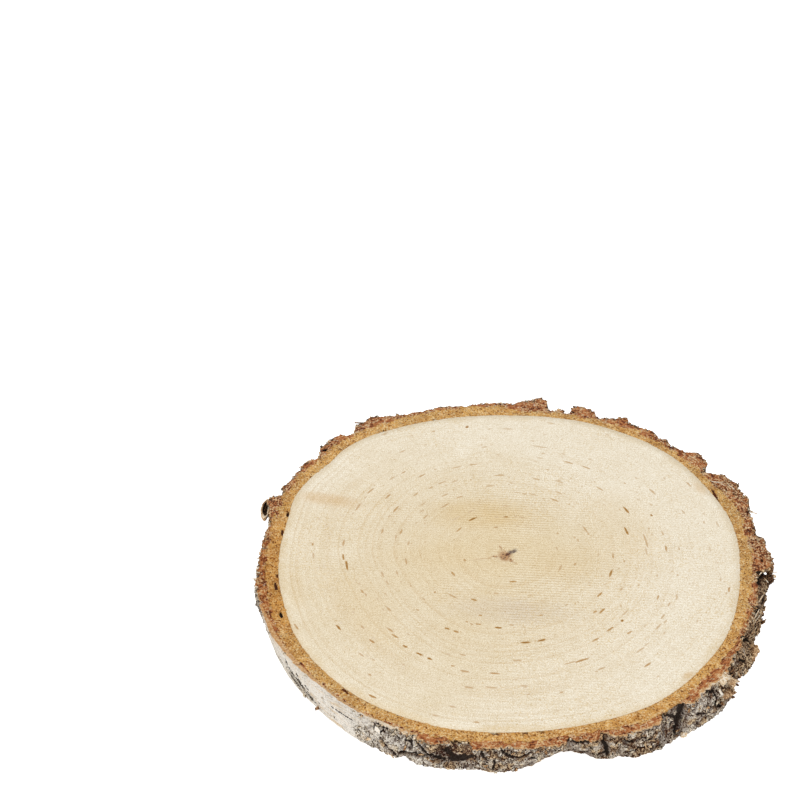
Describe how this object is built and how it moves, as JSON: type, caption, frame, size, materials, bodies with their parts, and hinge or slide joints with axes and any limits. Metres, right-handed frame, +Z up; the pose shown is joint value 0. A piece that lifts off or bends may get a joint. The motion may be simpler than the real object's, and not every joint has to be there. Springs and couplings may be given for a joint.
{
  "type": "birch wood slice",
  "caption": "Thin round slice sawn across a birch stem, with smooth pale wood faces and its ragged bark left on, to set things on or decorate.",
  "frame": {"origin": "middle of the slice's outline with its bark, on the lower sawn face it lies on", "axes": "+Z up along the stem, through the thickness; +X to the right and +Y away from a viewer who sees the papery bark at the front left"},
  "size_m": [0.2486, 0.2483, 0.016],
  "materials": {
    "birch_wood": "finely sawn, dry and matt, unvarnished",
    "inner_bark": "granular ochre inner bark, dry and matt",
    "outer_bark": "rough scaly bark, reddish cork and grey to white papery skin, matt"
  },
  "bodies": {
    "root": {"birch_slice": "birch_wood"}
  },
  "joints": []
}
